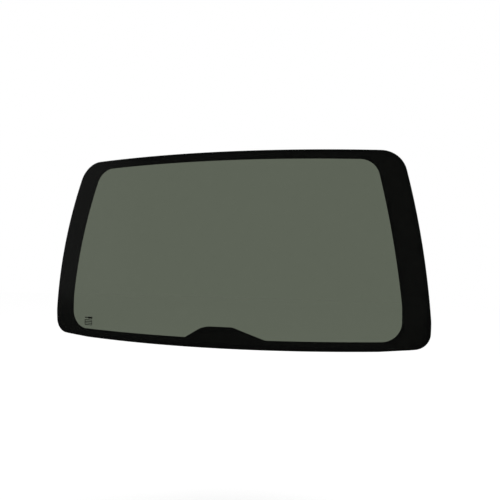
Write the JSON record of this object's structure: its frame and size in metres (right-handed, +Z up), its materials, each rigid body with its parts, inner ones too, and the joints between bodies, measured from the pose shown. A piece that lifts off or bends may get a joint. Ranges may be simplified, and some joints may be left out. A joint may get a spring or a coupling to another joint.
{
  "type": "car rear window",
  "caption": "Curved rear window glass for a car tailgate, a bare tinted safety glass pane with a black ceramic band fired round its inner face",
  "frame": {"origin": "centre of the part's box: on the middle plane, half way up and half way through the depth of the curve", "axes": "+Z up as fitted, +X to the right as seen from outside the car, and the outer, bulging face looks towards -Y; the pane stands upright, without the tailgate's rake"},
  "size_m": [1.293, 0.1379, 0.6254],
  "materials": {
    "tinted_glass": "clear polished safety glass, tinted grey-green in the mass, with a ground edge",
    "black_ceramic": "fired black enamel, satin from the inside and glossy through the glass"
  },
  "bodies": {
    "root": {"glass_pane": "tinted_glass", "frit_band": "black_ceramic"}
  },
  "joints": []
}
